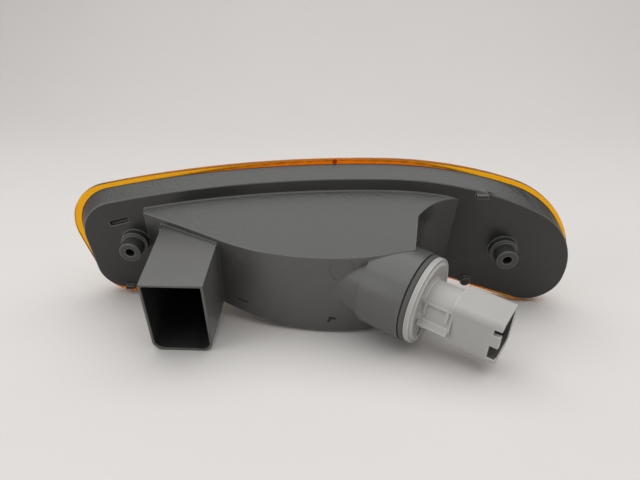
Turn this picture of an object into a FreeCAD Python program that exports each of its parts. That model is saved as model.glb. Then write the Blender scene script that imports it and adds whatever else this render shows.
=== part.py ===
import FreeCAD, Part
import Sketcher
import math
import os
from FreeCAD import Placement, Rotation, Vector

os.makedirs("parts", exist_ok=True)
doc = FreeCAD.newDocument("indicator_lamp")

# Every driving size is a cell with a name. Lengths are millimetres, angles are degrees.
# The lamp is drawn with its back plate on the plane y = 0, x to the right as seen from behind,
# y forward to the lens and z up. It is then leaned back onto the three points it rests on.
sizes = {
    # outline of the back plate
    "corner_x": -89.3, "corner_z": 1.9, "corner_radius": 18.9,
    "toe_x": -94.5, "toe_z": -16.5, "toe_radius": 12.3,
    "heel_x": 101.5, "heel_z": -15.6, "heel_radius": 15.2,
    "crown_x": 30.0, "crown_left_radius": 533.0, "crown_right_radius": 151.0,
    "shoulder_radius": 35.0, "skirt_slope": 19.5, "arch_z": -16.0, "arch_radius": 60.0,
    # tray between the plate and the lens
    "plate_wall": 2.2, "rim_wall": 2.2, "rim_depth": 5.0, "rim_tilt": 3.8,
    "rim_corner_x": -90.4, "rim_corner_z": 4.8, "rim_corner_radius": 20.3,
    "rim_toe_x": -93.9, "rim_toe_z": -17.0, "rim_toe_radius": 14.5,
    "rim_heel_x": 100.5, "rim_heel_z": -16.3, "rim_heel_radius": 15.5,
    "rim_crown_x": 28.0, "rim_crown_left_radius": 558.0, "rim_crown_right_radius": 187.0,
    "rim_shoulder_radius": 45.5, "rim_skirt_slope": 19.5, "rim_arch_z": -18.4, "rim_arch_radius": 57.0,
    # reflector bulge behind the plate
    "bulge_inset": 5.3, "bulge_wall": 2.2, "bulge_fall": 21.0, "bulge_sweep": 70.0,
    "bulge_tip_x": -77.5, "bulge_bend_x": -40.0, "bulge_bend_y": -21.0,
    "bulge_back_radius": 112.0, "bulge_end_x": 40.0, "bulge_end_y": -27.6,
    "bulge_side_x": 42.5, "bulge_side_y": -11.5, "bulge_hollow": 21.0,
    "bulge_hollow_radius": 30.0, "bulge_hollow_sink": 0.6, "bulge_nose": 2.4,
    # socket tube
    "tube_x": 42.5, "tube_y": -33.6, "tube_z": -1.1, "tube_turn": 56.4,
    "tube_radius": 19.0, "tube_length": 19.0, "tail_radius": 17.6, "tail_length": 36.0,
    "bore_radius": 16.1, "lip_radius": 14.3, "lip_thick": 3.2,
    "lug_reach": 15.6, "lug_width": 6.0, "notch_slack": 0.6, "twist": 40.0,
    # leg
    "leg_left_x": -66.4, "leg_right_x": -41.4, "leg_top_z": 14.5, "leg_low_z": -20.7,
    "leg_front_y": -48.0, "leg_draft": 1.8, "leg_wall": 1.2, "leg_round": 4.6, "leg_floor": 2.0,
    "gusset_reach": 11.0,
    # fixing bosses and small features of the plate
    "boss_span": 169.2, "boss_radius": 4.9, "boss_height": 9.6, "boss_hole_radius": 2.0,
    "boss_hole_depth": 9.8, "collar_radius": 6.3, "collar_height": 3.2,
    "pin_x": 70.6, "pin_z": -19.4, "pin_radius": 2.4, "pin_height": 1.8,
    "clip_x": 70.5, "clip_z": 26.4, "clip_width": 5.2, "clip_height": 2.4,
    "pocket_x": -90.5, "pocket_z": 10.5, "pocket_length": 9.2, "pocket_height": 2.5,
    "pocket_lean": 17.5, "pocket_depth": 1.7,
    "tab_x": -93.2, "tab_width": 4.2, "tab_height": 1.5,
    # outline of the lens flange
    "lens_corner_x": -92.4, "lens_corner_z": 4.5, "lens_corner_radius": 22.0,
    "lens_toe_x": -93.0, "lens_toe_z": -18.0, "lens_toe_radius": 15.5,
    "lens_heel_x": 100.5, "lens_heel_z": -16.5, "lens_heel_radius": 17.0,
    "lens_crown_x": 28.0, "lens_crown_left_radius": 560.0, "lens_crown_right_radius": 190.0,
    "lens_shoulder_radius": 47.0, "lens_skirt_slope": 19.5, "lens_arch_z": -19.8, "lens_arch_radius": 56.0,
    # lens
    "flange_thick": 2.2,
    "crown_flare": 0.4, "crown_depth": 15.5, "crown_sphere": 760.0, "crown_round": 3.4,
    "lens_hollow_flare": -1.6, "lens_wall": 3.0, "flute_pitch": 7.0, "flute_rise": 0.7,
    "pip_radius": 0.8, "pip_height": 0.6,
    # bulb holder, measured outwards along the tube from its mouth
    "gasket_gap": 0.15, "gasket_thick": 2.3, "gasket_inner": 14.6, "gasket_outer": 18.7,
    "holder_flange_radius": 18.4, "holder_flange_thick": 2.2, "holder_ring_radius": 16.6,
    "holder_ring_rise": 0.7, "barrel_radius": 13.9, "barrel_depth": 17.0,
    "socket_radius": 7.9, "socket_floor": 6.0, "lug_thick": 2.6, "lug_gap": 0.25,
    "neck_radius": 9.9, "neck_end": 17.0, "shroud_end": 36.5, "shroud_width": 17.4,
    "shroud_height": 21.0, "shroud_round": 3.2, "shroud_wall": 1.9, "shroud_hollow": 14.0,
    "cage_width": 12.4, "cage_stand": 10.8,
    "blade_width": 2.8, "blade_thick": 0.8, "blade_spread": 3.6, "blade_slack": 0.1,
    # bulb
    "cap_radius": 7.5, "cap_base": 4.4, "cap_length": 18.6, "cap_skin": 0.5, "pin_reach": 8.6,
    "cap_pin_drop": 6.6, "cap_pin_radius": 1.0,
    "glass_radius": 11.5, "glass_centre": -33.0, "glass_neck": 6.9, "glass_skin": 0.7,
    "wire_radius": 0.35, "wire_length": 14.0, "wire_spread": 1.7, "wire_lean": 10.0,
    "coil_radius": 0.5, "coil_length": 9.0,
}
dims = doc.addObject("Spreadsheet::Sheet", "dims")
for row, (name, size) in enumerate(sizes.items(), start=1):
    dims.set(f"A{row}", name)
    dims.set(f"B{row}", str(size))
    dims.setAlias(f"B{row}", name)
doc.recompute()


def value(expression):
    """Number that an expression of the sheet's names stands for."""
    return float(dims.evalExpression(str(expression).replace("dims.", "")))


def bound(expression):
    """The same expression with each name pointed at the sheet."""
    words = str(expression).replace("(", " ( ").replace(")", " ) ").split()
    return " ".join(f"dims.{word}" if word in sizes else word for word in words)


def hold(sketch, kind, where, expression):
    """Add a constraint whose size follows the sheet."""
    size = value(expression)
    if kind == "Angle":
        size = math.radians(size)
    index = sketch.addConstraint(Sketcher.Constraint(kind, *where, size))
    sketch.setExpression(f"Constraints[{index}]", bound(expression))


def pin_point(sketch, where, x, y):
    """Place a point of a sketch by two expressions."""
    if value(x) == 0:
        sketch.addConstraint(Sketcher.Constraint("PointOnObject", *where, -2))
    else:
        hold(sketch, "DistanceX", (-1, 1, *where), x)
    if value(y) == 0:
        sketch.addConstraint(Sketcher.Constraint("PointOnObject", *where, -1))
    else:
        hold(sketch, "DistanceY", (-1, 1, *where), y)


def set_size(item, prop, expression):
    item.setExpression(prop, bound(expression))


def free_sketch(name, place):
    sketch = doc.addObject("Sketcher::SketchObject", name)
    sketch.Placement = place
    return sketch


def back_plane(forward=0.0, tilt=0.0):
    """Plane seen from behind: its x is the lamp's x and its y goes up."""
    return Placement(Vector(0, forward, 0), Rotation(Vector(1, 0, 0), 90 - tilt))


def polygon(sketch, corners, arcs=None):
    """Closed chain of bound corners; arcs maps a side to its radius, minus for a hollow side."""
    arcs = arcs or {}
    points = [Vector(value(x), value(y), 0) for x, y in corners]
    count = len(points)
    ends = []
    for side in range(count):
        start, end = points[side], points[(side + 1) % count]
        if side in arcs:
            radius = value(arcs[side][0])
            hollow = arcs[side][1]
            along = end - start
            middle = (start + end) * 0.5
            rise = math.sqrt(radius ** 2 - (along.Length / 2) ** 2)
            across = Vector(-along.y, along.x, 0).normalize()
            centre = middle - across * rise if hollow else middle + across * rise
            first, last = (end, start) if hollow else (start, end)
            turn = [math.atan2(p.y - centre.y, p.x - centre.x) for p in (first, last)]
            circle = Part.Circle(centre, Vector(0, 0, 1), radius)
            sketch.addGeometry(Part.ArcOfCircle(circle, *turn))
            ends.append((2, 1) if hollow else (1, 2))
        else:
            sketch.addGeometry(Part.LineSegment(start, end))
            ends.append((1, 2))
    for side in range(count):
        following = (side + 1) % count
        joint = (side, ends[side][1], following, ends[following][0])
        sketch.addConstraint(Sketcher.Constraint("Coincident", *joint))
    for side, (x, y) in enumerate(corners):
        pin_point(sketch, (side, ends[side][0]), x, y)
    for side, (radius, _) in arcs.items():
        hold(sketch, "Radius", (side,), radius)
    return sketch


def lamp_outline(name, grow, place, family=""):
    """Bean outline of one family of sizes, grown evenly, as a chain of tangent arcs and lines."""
    sketch = free_sketch(name, place)
    extra = value(grow)
    corner = Vector(value(family + "corner_x"), value(family + "corner_z"), 0)
    toe = Vector(value(family + "toe_x"), value(family + "toe_z"), 0)
    heel = Vector(value(family + "heel_x"), value(family + "heel_z"), 0)
    corner_r, toe_r, heel_r = value(family + "corner_radius"), value(family + "toe_radius"), value(family + "heel_radius")
    left_r, right_r = value(family + "crown_left_radius"), value(family + "crown_right_radius")
    shoulder_r, arch_r = value(family + "shoulder_radius"), value(family + "arch_radius")
    crown_x, arch_z = value(family + "crown_x"), value(family + "arch_z")
    slope = math.radians(value(family + "skirt_slope"))

    drop = math.sqrt((left_r - corner_r) ** 2 - (crown_x - corner.x) ** 2)
    left = Vector(crown_x, corner.y - drop, 0)
    right = Vector(crown_x, left.y + left_r - right_r, 0)
    between = heel - right
    reach, near = right_r - shoulder_r, shoulder_r - heel_r
    along = (reach ** 2 - near ** 2 + between.Length ** 2) / (2 * between.Length)
    aside = math.sqrt(reach ** 2 - along ** 2)
    unit = Vector(between).normalize()
    shoulder = right + unit * along + Vector(-unit.y, unit.x, 0) * aside
    span = corner - toe
    lean = (toe_r - corner_r) / span.Length
    unit = Vector(span).normalize()
    side = unit * lean + Vector(-unit.y, unit.x, 0) * math.sqrt(1 - lean ** 2)
    toe_normal = Vector(math.sin(slope), -math.cos(slope), 0)
    heel_normal = Vector(-math.sin(slope), -math.cos(slope), 0)
    arch_y = arch_z - arch_r
    toe_arch_x = (toe_normal.dot(toe) + toe_r + arch_r + math.cos(slope) * arch_y) / math.sin(slope)
    heel_arch_x = -(heel_normal.dot(heel) + heel_r + arch_r + math.cos(slope) * arch_y) / math.sin(slope)
    toe_arch = Vector(toe_arch_x, arch_y, 0)
    heel_arch = Vector(heel_arch_x, arch_y, 0)

    up = Vector(0, 1, 0)
    knots = [
        left + up * (left_r + extra),
        corner + (corner - left).normalize() * (corner_r + extra),
        corner + side * (corner_r + extra),
        toe + side * (toe_r + extra),
        toe + toe_normal * (toe_r + extra),
        toe_arch - toe_normal * (arch_r - extra),
        toe_arch + up * (arch_r - extra),
        heel_arch + up * (arch_r - extra),
        heel_arch - heel_normal * (arch_r - extra),
        heel + heel_normal * (heel_r + extra),
        heel + (heel - shoulder).normalize() * (heel_r + extra),
        shoulder + (shoulder - right).normalize() * (shoulder_r + extra),
    ]
    arcs = {
        0: (left, f"{family}crown_left_radius + {grow}", False), 1: (corner, f"{family}corner_radius + {grow}", False),
        3: (toe, f"{family}toe_radius + {grow}", False), 5: (toe_arch, f"{family}arch_radius - ( {grow} )", True),
        7: (heel_arch, f"{family}arch_radius - ( {grow} )", True), 9: (heel, f"{family}heel_radius + {grow}", False),
        10: (shoulder, f"{family}shoulder_radius + {grow}", False),
        11: (right, f"{family}crown_right_radius + {grow}", False),
    }
    ends = []
    for index, start in enumerate(knots):
        end = knots[(index + 1) % len(knots)]
        if index in arcs:
            centre, radius, hollow = arcs[index]
            first, last = (end, start) if hollow else (start, end)
            turn = [math.atan2(p.y - centre.y, p.x - centre.x) for p in (first, last)]
            circle = Part.Circle(centre, Vector(0, 0, 1), value(radius))
            sketch.addGeometry(Part.ArcOfCircle(circle, *turn))
            ends.append((2, 1) if hollow else (1, 2))
        else:
            sketch.addGeometry(Part.LineSegment(start, end))
            ends.append((1, 2))
    for index in range(len(knots)):
        following = (index + 1) % len(knots)
        joint = (index, ends[index][1], following, ends[following][0])
        sketch.addConstraint(Sketcher.Constraint("Tangent", *joint))
    for index, (_, radius, _) in arcs.items():
        hold(sketch, "Radius", (index,), radius)
    pin_point(sketch, (1, 3), family + "corner_x", family + "corner_z")
    pin_point(sketch, (3, 3), family + "toe_x", family + "toe_z")
    pin_point(sketch, (9, 3), family + "heel_x", family + "heel_z")
    hold(sketch, "DistanceX", (-1, 1, 0, 1), family + "crown_x")
    hold(sketch, "DistanceX", (-1, 1, 0, 3), family + "crown_x")
    hold(sketch, "Angle", (4,), family + "skirt_slope")
    hold(sketch, "Angle", (8,), f"-1 * {family}skirt_slope")
    sketch.addConstraint(Sketcher.Constraint("Horizontal", 6))
    hold(sketch, "DistanceY", (-1, 1, 6, 1), f"{family}arch_z - ( {grow} )")
    return sketch


def extrude(name, profile, direction, length, back=None):
    item = doc.addObject("Part::Extrusion", name)
    item.Base = profile
    item.DirMode = "Custom"
    item.Dir = direction
    item.Solid = True
    set_size(item, "LengthFwd", length)
    if back is not None:
        set_size(item, "LengthRev", back)
    return item


def loft(name, first, second):
    item = doc.addObject("Part::Loft", name)
    item.Sections = [first, second]
    item.Solid = True
    item.Ruled = True
    return item


def join(name, shapes):
    item = doc.addObject("Part::MultiFuse", name)
    item.Shapes = shapes
    item.Refine = True
    return item


def common(name, shapes):
    item = doc.addObject("Part::MultiCommon", name)
    item.Shapes = shapes
    return item


def cut(name, base, tool):
    item = doc.addObject("Part::Cut", name)
    item.Base = base
    item.Tool = tool
    return item


def cylinder(name, radius, height, place):
    item = doc.addObject("Part::Cylinder", name)
    set_size(item, "Radius", radius)
    set_size(item, "Height", height)
    item.Placement = place
    return item


def box(name, length, width, height, place):
    item = doc.addObject("Part::Box", name)
    set_size(item, "Length", length)
    set_size(item, "Width", width)
    set_size(item, "Height", height)
    item.Placement = place
    return item


def backward(x, z, y=0.0):
    """Placement of a piece whose own z points out of the back of the plate."""
    return Placement(Vector(x, y, z), Rotation(Vector(1, 0, 0), 90))


mouth = Vector(value("tube_x"), value("tube_y"), value("tube_z"))
tube_place = Placement(mouth, Rotation(value("tube_turn"), 0, 90))


def on_tube(distance=0.0, turn=0.0):
    """Placement along the tube: own z runs outwards, own y goes up, own x goes to the lens side."""
    return tube_place.multiply(Placement(Vector(0, 0, distance), Rotation(Vector(0, 0, 1), turn)))


# Housing: tray
plate_outline = lamp_outline("plate_outline", "0", back_plane())
rim_outline = lamp_outline("rim_outline", "0", back_plane(value("rim_depth"), value("rim_tilt")), "rim_")
floor_outline = lamp_outline("floor_outline", "0 - rim_wall", back_plane(value("plate_wall")))
opening_outline = lamp_outline(
    "opening_outline", "0 - rim_wall", back_plane(value("rim_depth") + 1, value("rim_tilt")), "rim_")
tray = loft("tray", plate_outline, rim_outline)
tray_hollow = loft("tray_hollow", floor_outline, opening_outline)

# Housing: reflector bulge, swept back and down, and trimmed to its shape in plan
fall = math.radians(value("bulge_fall"))
sweep_way = Vector(0, -math.cos(fall), -math.sin(fall))


def bulge(name, grow, inset, start):
    front = lamp_outline(f"{name}_front", grow, back_plane(start))
    swept = extrude(f"{name}_swept", front, sweep_way, "bulge_sweep")
    plan = free_sketch(f"{name}_plan", Placement())
    corners = [
        (f"bulge_tip_x + 1.2 * {inset}", f"2 * plate_wall"),
        (f"bulge_tip_x + 1.2 * {inset}", f"0.7 * {inset} - bulge_nose"),
        (f"bulge_bend_x + 0.4 * {inset}", f"bulge_bend_y + {inset}"),
        (f"bulge_end_x - {inset}", f"bulge_end_y + {inset}"),
        (f"bulge_side_x - 0.81 * {inset}", f"bulge_side_y + 0.59 * {inset}"),
        (f"bulge_side_x + bulge_hollow", f"bulge_hollow_sink + {inset}"),
        (f"bulge_side_x + bulge_hollow", f"2 * plate_wall"),
    ]
    rounds = {
        2: (f"bulge_back_radius - {inset}", False),
        4: (f"bulge_hollow_radius + {inset}", True),
    }
    polygon(plan, corners, rounds)
    block = extrude(f"{name}_block", plan, Vector(0, 0, 1), "60", "60")
    return common(name, [swept, block])


bulge_body = bulge("bulge_body", "0 - bulge_inset", "0", 1.0)
bulge_hollow = bulge("bulge_cavity", "0 - bulge_inset - bulge_wall", "bulge_wall", 3.0)

# Housing: socket tube with its lip
tube = cylinder("tube", "tube_radius", "tube_length", on_tube(-value("tube_length")))
tail = cylinder("tail", "tail_radius", "tail_length", on_tube(-value("tail_length")))
tube_bore = cylinder("tube_bore", "bore_radius", "tail_length - 2 - lip_thick",
                     on_tube(2 - value("tail_length")))
lip_bore = cylinder("lip_bore", "lip_radius", "lip_thick + 2", on_tube(-value("lip_thick") - 1))
notches = []
for index in range(3):
    notch = box(f"lip_notch_{index}", "lug_reach + notch_slack", "lug_width + 2 * notch_slack",
                "lip_thick + 2", Placement())
    offset = Placement(Vector(0, -value("lug_width") / 2 - value("notch_slack"), 0), Rotation())
    turned = on_tube(-value("lip_thick") - 1, 120 * index + 200 + value("twist"))
    notch.Placement = turned.multiply(offset)
    notches.append(notch)

# Housing: hollow leg


def leg_section(name, place, inset, spread):
    sketch = free_sketch(name, place)
    left, right = f"leg_left_x - {spread} + {inset}", f"leg_right_x - {inset}"
    low, top = f"leg_low_z + {inset}", f"leg_top_z - {inset}"
    bend = f"leg_round - {inset} * 0.6"
    corners = [
        (f"{left}", f"{low} + {bend}"), (f"{left} + {bend}", low), (f"{right} - {bend}", low),
        (right, f"{low} + {bend}"), (right, top), (left, top),
    ]
    return polygon(sketch, corners, {0: (bend, False), 2: (bend, False)})


leg_front = back_plane(value("leg_front_y"))
leg = loft("leg", leg_section("leg_front_section", leg_front, "0", "0"),
           leg_section("leg_root_section", back_plane(1.0), "0", "leg_draft"))
leg_core = loft("leg_core",
                leg_section("leg_mouth_section", back_plane(value("leg_front_y") - 0.5), "leg_wall", "0"),
                leg_section("leg_end_section", back_plane(-value("leg_floor")), "leg_wall", "leg_draft"))
leg_hollow = cut("leg_hollow", leg_core, bulge_body)
gusset_plan = free_sketch("gusset_plan", Placement(Vector(0, 0, -14), Rotation()))
polygon(gusset_plan, [
    ("leg_left_x - leg_draft - gusset_reach", "0.5"), ("leg_left_x - leg_draft - gusset_reach", "0"),
    ("leg_left_x - leg_draft + 0.4", "0 - gusset_reach - 0.4"), ("leg_left_x + 3", "0 - gusset_reach - 0.4"),
    ("leg_left_x + 3", "0.5"),
], {1: ("gusset_reach + 0.6", True)})
gusset = extrude("gusset", gusset_plan, Vector(0, 0, 1), "14 + leg_top_z")

# Housing: fixing bosses, pin, clip, tab and pocket
half_span = value("boss_span") / 2
posts = []
holes = []
for name, x in (("left", -half_span), ("right", half_span)):
    posts.append(cylinder(f"boss_{name}", "boss_radius", "boss_height + 0.5", backward(x, 0, 0.5)))
    posts.append(cylinder(f"collar_{name}", "collar_radius", "collar_height + 0.5", backward(x, 0, 0.5)))
    depth = value("boss_hole_depth") - value("boss_height")
    holes.append(cylinder(f"boss_hole_{name}", "boss_hole_radius", "boss_hole_depth + 1", backward(x, 0, depth)))
posts.append(cylinder("plate_pin", "pin_radius", "pin_height + 0.5",
                      backward(value("pin_x"), value("pin_z"), 0.5)))
posts.append(box("clip", "clip_width", "clip_height", "2 + 0.5",
                 backward(value("clip_x") - value("clip_width") / 2, value("clip_z"), 0.5)))
tab_low = value("toe_z") - value("toe_radius")
posts.append(box("toe_tab", "tab_width", "tab_height + 1", "1.6 + 1.5",
                 backward(value("tab_x") - value("tab_width") / 2, tab_low - 0.4, 1.5)))
pocket = box("pocket", "pocket_length", "pocket_height", "pocket_depth + 1", Placement())
pocket.Placement = backward(value("pocket_x"), value("pocket_z"), value("pocket_depth")).multiply(
    Placement(Vector(), Rotation(Vector(0, 0, 1), value("pocket_lean")))).multiply(
    Placement(Vector(-value("pocket_length") / 2, -value("pocket_height") / 2, 0), Rotation()))

shell = join("housing_solid", [tray, bulge_body, tube, tail, leg, gusset, *posts])
voids = join("housing_voids", [tray_hollow, bulge_hollow, tube_bore, lip_bore, *notches, leg_hollow, *holes, pocket])
housing = cut("housing", shell, voids)
doc.recompute()

# Lens: mounting flange, crown and a hollow with upright flutes
tilt = math.radians(value("rim_tilt"))
forward = Vector(0, math.cos(tilt), -math.sin(tilt))
rim_up = Vector(0, math.sin(tilt), math.cos(tilt))
rim_centre = Vector(0, value("rim_depth"), 0)


def rim_plane():
    return back_plane(value("rim_depth"), value("rim_tilt"))


flange_outline = lamp_outline("flange_outline", "0", rim_plane(), "lens_")
lens_flange = extrude("lens_flange", flange_outline, forward, "flange_thick")
crown_outline = lamp_outline("crown_outline", "crown_flare", rim_plane())
crown_block = extrude("crown_block", crown_outline, forward, "crown_depth + 5")
dome = doc.addObject("Part::Sphere", "crown_dome")
set_size(dome, "Radius", "crown_sphere")
dome.Placement.Base = rim_centre + forward * (value("crown_depth") - value("crown_sphere"))
crown_raw = common("crown_raw", [crown_block, dome])
doc.recompute()
crown = doc.addObject("Part::Fillet", "crown_rounded")
crown.Base = crown_raw
front_edges = []
for index, edge in enumerate(crown_raw.Shape.Edges, start=1):
    if all((vertex.Point - rim_centre).dot(forward) > 1 for vertex in edge.Vertexes):
        if abs((edge.valueAt(edge.FirstParameter) - edge.valueAt(edge.LastParameter)).dot(forward)) < 6.5:
            front_edges.append((index, value("crown_round"), value("crown_round")))
crown.Edges = front_edges
pips = []
for index, (x, up) in enumerate(((7.0, 38.7), (70.4, -22.9), (-93.0, -32.5))):
    place = rim_plane().multiply(Placement(Vector(x, up, -1), Rotation()))
    pips.append(cylinder(f"lens_pip_{index}", "pip_radius", "pip_height + 1", place))
hollow_outline = lamp_outline("lens_hollow_outline", "lens_hollow_flare", rim_plane())
hollow_block = extrude("lens_hollow_block", hollow_outline, forward, "crown_depth + 5", "2")
flute_plan = free_sketch("flute_plan", Placement(rim_centre, Rotation(Vector(1, 0, 0), -value("rim_tilt"))))
flutes = 18
flute_corners = [(f"0 - {flutes} * flute_pitch", "-3"), (f"{flutes} * flute_pitch", "-3")]
for step in range(flutes, -flutes - 1, -1):
    x = f"{step} * flute_pitch"
    reach = f"( ( crown_sphere - lens_wall ) ^ 2 - ( {x} ) ^ 2 ) ^ 0.5"
    flute_corners.append((x, f"crown_depth - crown_sphere + {reach}"))
flute_round = "flute_pitch ^ 2 / ( 8 * flute_rise ) + flute_rise / 2"
flute_arcs = {side: (flute_round, True) for side in range(2, 2 + 2 * flutes)}
polygon(flute_plan, flute_corners, flute_arcs)
flute_block = extrude("flute_block", flute_plan, rim_up, "60", "60")
lens_hollow = common("lens_hollow", [hollow_block, flute_block])
lens = cut("lens", join("lens_solid", [lens_flange, crown, *pips]), lens_hollow)

# Bulb holder and bulb: drawn about their own z, which runs outwards along the socket tube
profile_plane = Placement(Vector(), Rotation(Vector(1, 0, 0), 90))
side_plane = Placement(Vector(), Rotation(Vector(1, 1, 1), 120))


def revolve(name, corners, arcs=None):
    """Turned piece from corners given as radius and distance along the axis."""
    sketch = free_sketch(f"{name}_profile", profile_plane)
    polygon(sketch, corners, arcs)
    item = doc.addObject("Part::Revolution", name)
    item.Source = sketch
    item.Axis = Vector(0, 0, 1)
    item.Angle = 360
    item.Solid = True
    return item


def block(name, x, y, z):
    """Box from three pairs of expressions for its lower and upper faces."""
    place = Placement(Vector(value(x[0]), value(y[0]), value(z[0])), Rotation())
    spans = [f"( {high} ) - ( {low} )" for low, high in (x, y, z)]
    return box(name, *spans, place)


def turned(item, angle):
    item.Placement = Placement(Vector(), Rotation(Vector(0, 0, 1), angle)).multiply(item.Placement)
    return item


def rounded_bar(name, width, height, bend, low, length):
    sketch = free_sketch(f"{name}_section", Placement(Vector(0, 0, value(low)), Rotation()))
    right, top = f"( {width} ) / 2", f"( {height} ) / 2"
    left, base = f"0 - ( {width} ) / 2", f"0 - ( {height} ) / 2"
    corners = [
        (f"{left} + {bend}", base), (f"{right} - ( {bend} )", base), (right, f"{base} + {bend}"),
        (right, f"{top} - ( {bend} )"), (f"{right} - ( {bend} )", top), (f"{left} + {bend}", top),
        (left, f"{top} - ( {bend} )"), (left, f"{base} + {bend}"),
    ]
    polygon(sketch, corners, {side: (bend, False) for side in (1, 3, 5, 7)})
    return extrude(name, sketch, Vector(0, 0, 1), length)


seat = "gasket_gap + gasket_thick"
face = "gasket_gap + gasket_thick + holder_flange_thick"
turned_body = revolve("holder_turned", [
    ("0", "socket_floor"), ("socket_radius", "socket_floor"), ("socket_radius", "0 - barrel_depth"),
    ("barrel_radius", "0 - barrel_depth"), ("barrel_radius", seat), ("holder_flange_radius", seat),
    ("holder_flange_radius", face), ("holder_ring_radius", face),
    ("holder_ring_radius - 0.3", f"{face} + holder_ring_rise"),
    ("holder_ring_radius - 1.6", f"{face} + holder_ring_rise"), ("holder_ring_radius - 1.9", face),
    ("neck_radius + 0.8", face), ("neck_radius", f"{face} + 0.8"), ("neck_radius", "neck_end + 1"),
    ("0", "neck_end + 1"),
])
lugs = []
for index in range(3):
    lug = block(f"holder_lug_{index}", ("barrel_radius - 1.5", "lug_reach"),
                ("0 - lug_width / 2", "lug_width / 2"),
                ("0 - lip_thick - lug_gap - lug_thick", "0 - lip_thick - lug_gap"))
    lugs.append(turned(lug, 120 * index + 200))
shroud = rounded_bar("shroud", "shroud_width", "shroud_height", "shroud_round", "neck_end",
                     "shroud_end - neck_end")
rail = block("shroud_rail", ("-4.5", "4.5"), ("0 - shroud_height / 2 - 1.5", "0 - shroud_height / 2 + 0.5"),
             ("neck_end + 1.5", "shroud_end - 4"))
cage = turned(block("neck_cage", ("neck_radius - 4", "cage_stand"), ("0 - cage_width / 2", "cage_width / 2"),
                    (f"{face} + 0.5", "neck_end + 0.5")), 222)
flange_rib = turned(block("flange_rib", ("neck_radius - 1", "holder_ring_radius"), ("-0.6", "0.6"),
                          (f"{face} - 0.4", f"{face} + 0.9")), 238)
cage_window = turned(block("cage_window", ("cage_stand - 2.2", "cage_stand + 1"), ("-4.6", "0.4"),
                           (f"{face} + 2.2", "neck_end - 1.6")), 222)
plug_space = rounded_bar("plug_space", "shroud_width - 2 * shroud_wall", "shroud_height - 2 * shroud_wall",
                         "shroud_round - 1.4", "shroud_end - shroud_hollow", "shroud_hollow + 1")
shroud_cuts = [
    block("shroud_notch_small", ("0 - shroud_width / 2 - 1", "0 - shroud_width / 2 + shroud_wall + 0.5"),
          ("5.2", "7.8"), ("shroud_end - 3", "shroud_end + 1")),
    block("shroud_notch_wide", ("0 - shroud_width / 2 - 1", "0 - shroud_width / 2 + shroud_wall + 0.5"),
          ("-6.6", "-0.6"), ("shroud_end - 3.4", "shroud_end + 1")),
]
slit_x = ("0 - blade_width / 2 - blade_slack", "blade_width / 2 + blade_slack")
slits = []
for name, middle in (("feed", "blade_spread"), ("ground", "0 - blade_spread")):
    low = f"{middle} - blade_thick / 2 - blade_slack"
    high = f"{middle} + blade_thick / 2 + blade_slack"
    slits.append(block(f"{name}_slit", slit_x, (low, high), ("socket_floor - 1", "shroud_end - shroud_hollow + 1")))
ground_groove = block("ground_groove", slit_x, ("0 - socket_radius - 0.7", "-6"),
                      ("0 - barrel_depth - 1", "socket_floor"))
pin_grooves = [
    block("pin_groove_lens", ("6", "pin_reach + 0.3"), ("-1.3", "1.3"), ("0 - barrel_depth - 1", "-1.0")),
    block("pin_groove_rear", ("0 - pin_reach - 0.3", "-6"), ("-1.3", "1.3"), ("0 - barrel_depth - 1", "-1.0")),
]
holder_solid = join("holder_solid", [turned_body, *lugs, shroud, rail, cage, flange_rib])
holder_voids = join("holder_voids", [plug_space, *shroud_cuts, *slits, ground_groove, *pin_grooves, cage_window])
bulb_holder = cut("bulb_holder", holder_solid, holder_voids)
holder_gasket = revolve("holder_gasket", [
    ("gasket_inner", "gasket_gap"), ("gasket_outer - 0.5", "gasket_gap"), ("gasket_outer", "gasket_gap + 0.5"),
    ("gasket_outer", f"{seat} - 0.5"), ("gasket_outer - 0.5", seat), ("gasket_inner", seat),
])


def strip(name, corners):
    """Bent metal strip: its side view in own y and z, drawn to the blade's width."""
    sketch = free_sketch(f"{name}_side", side_plane)
    polygon(sketch, corners)
    return extrude(name, sketch, Vector(1, 0, 0), "blade_width / 2", "blade_width / 2")


foot_low, foot_top = "cap_base + 0.65", "cap_base + 0.65 + blade_thick"
feed_terminal = strip("feed_terminal", [
    ("-1.4", foot_low), ("blade_spread + blade_thick / 2", foot_low),
    ("blade_spread + blade_thick / 2", "shroud_end - 4"), ("blade_spread", "shroud_end - 3"),
    ("blade_spread - blade_thick / 2", "shroud_end - 4"), ("blade_spread - blade_thick / 2", foot_top),
    ("-1.4", foot_top),
])
ground_terminal = strip("ground_terminal", [
    ("0 - blade_spread + blade_thick / 2", foot_low), ("0 - blade_spread + blade_thick / 2", "shroud_end - 4"),
    ("0 - blade_spread", "shroud_end - 3"), ("0 - blade_spread - blade_thick / 2", "shroud_end - 4"),
    ("0 - blade_spread - blade_thick / 2", foot_top), ("0 - cap_radius - 0.9", foot_top),
    ("0 - cap_radius - 0.9", "-8"), ("0 - cap_radius - 0.1", "-8"), ("0 - cap_radius - 0.1", foot_low),
])
cap_low = "cap_base - cap_length"
cap_shell = revolve("cap_shell", [
    ("cap_radius - cap_skin", cap_low), ("cap_radius", cap_low), ("cap_radius", "cap_base - 1.4"),
    ("cap_radius - 0.9", "cap_base - 0.4"), ("cap_radius - 1.5", "cap_base - 0.4"),
    ("cap_radius - 1.5", "cap_base - 0.9"), ("cap_radius - cap_skin", "cap_base - 1.6"),
])
pin_rods = []
for name, side in (("lens", 90), ("rear", -90)):
    rod = cylinder(f"cap_pin_{name}", "cap_pin_radius", "pin_reach - cap_radius + 0.3", Placement())
    lift = Placement(Vector(0, 0, value("cap_base - cap_pin_drop")), Rotation(Vector(0, 1, 0), side))
    rod.Placement = lift.multiply(Placement(Vector(0, 0, value("cap_radius") - 0.3), Rotation()))
    pin_rods.append(rod)
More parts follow.
